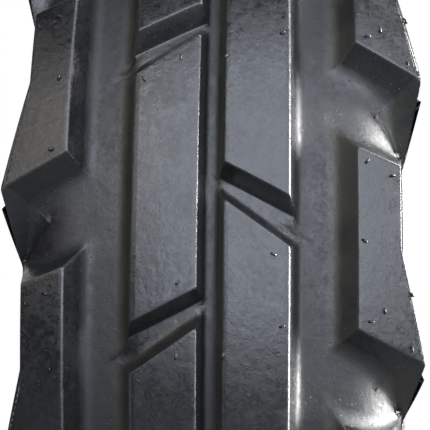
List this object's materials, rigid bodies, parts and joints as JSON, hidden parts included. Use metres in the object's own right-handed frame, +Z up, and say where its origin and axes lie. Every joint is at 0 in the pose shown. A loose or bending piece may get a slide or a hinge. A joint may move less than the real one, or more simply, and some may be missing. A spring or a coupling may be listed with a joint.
{
  "type": "implement tyre",
  "caption": "Farm implement tyre with centre ribs, slanted notches, wide grooves and flared shoulder lugs over a bias ply casing.",
  "frame": {"origin": "wheel centre: on the spin axis, half way between the beads", "axes": "+Y along the spin axis to the right side of the tyre, +Z up, +X across; rolling is about +Y"},
  "size_m": [0.7598, 0.2384, 0.7598],
  "materials": {
    "tread_rubber": "moulded tread rubber, semi-matt",
    "sidewall_rubber": "moulded sidewall rubber, satin",
    "rim_rubber": "hard smooth bead rubber",
    "liner_rubber": "smooth airtight rubber with a bladder grain",
    "base_rubber": "cushion rubber, matt",
    "apex_rubber": "hard filler rubber, matt",
    "breaker_cord": "rubber coated nylon cord",
    "ply_cord": "rubber coated nylon cord on the bias",
    "wrap_fabric": "rubber coated square woven tape",
    "flipper_fabric": "rubber coated woven strip",
    "chafer_fabric": "rubber coated woven strip",
    "bead_wire": "bronze plated steel wire"
  },
  "bodies": {
    "root": {"tread": "tread_rubber", "tread_base": "base_rubber", "breaker_outer": "breaker_cord", "breaker_inner": "breaker_cord", "body_ply_1": "ply_cord", "body_ply_2": "ply_cord", "body_ply_3": "ply_cord", "body_ply_4": "ply_cord", "inner_liner": "liner_rubber", "sidewall_left": "sidewall_rubber", "sidewall_right": "sidewall_rubber", "bead_core_left": "bead_wire", "bead_core_right": "bead_wire", "bead_wrap_left": "wrap_fabric", "bead_wrap_right": "wrap_fabric", "flipper_left": "flipper_fabric", "flipper_right": "flipper_fabric", "apex_left": "apex_rubber", "apex_right": "apex_rubber", "chafer_left": "chafer_fabric", "chafer_right": "chafer_fabric", "rim_cushion_left": "rim_rubber", "rim_cushion_right": "rim_rubber"}
  },
  "joints": []
}
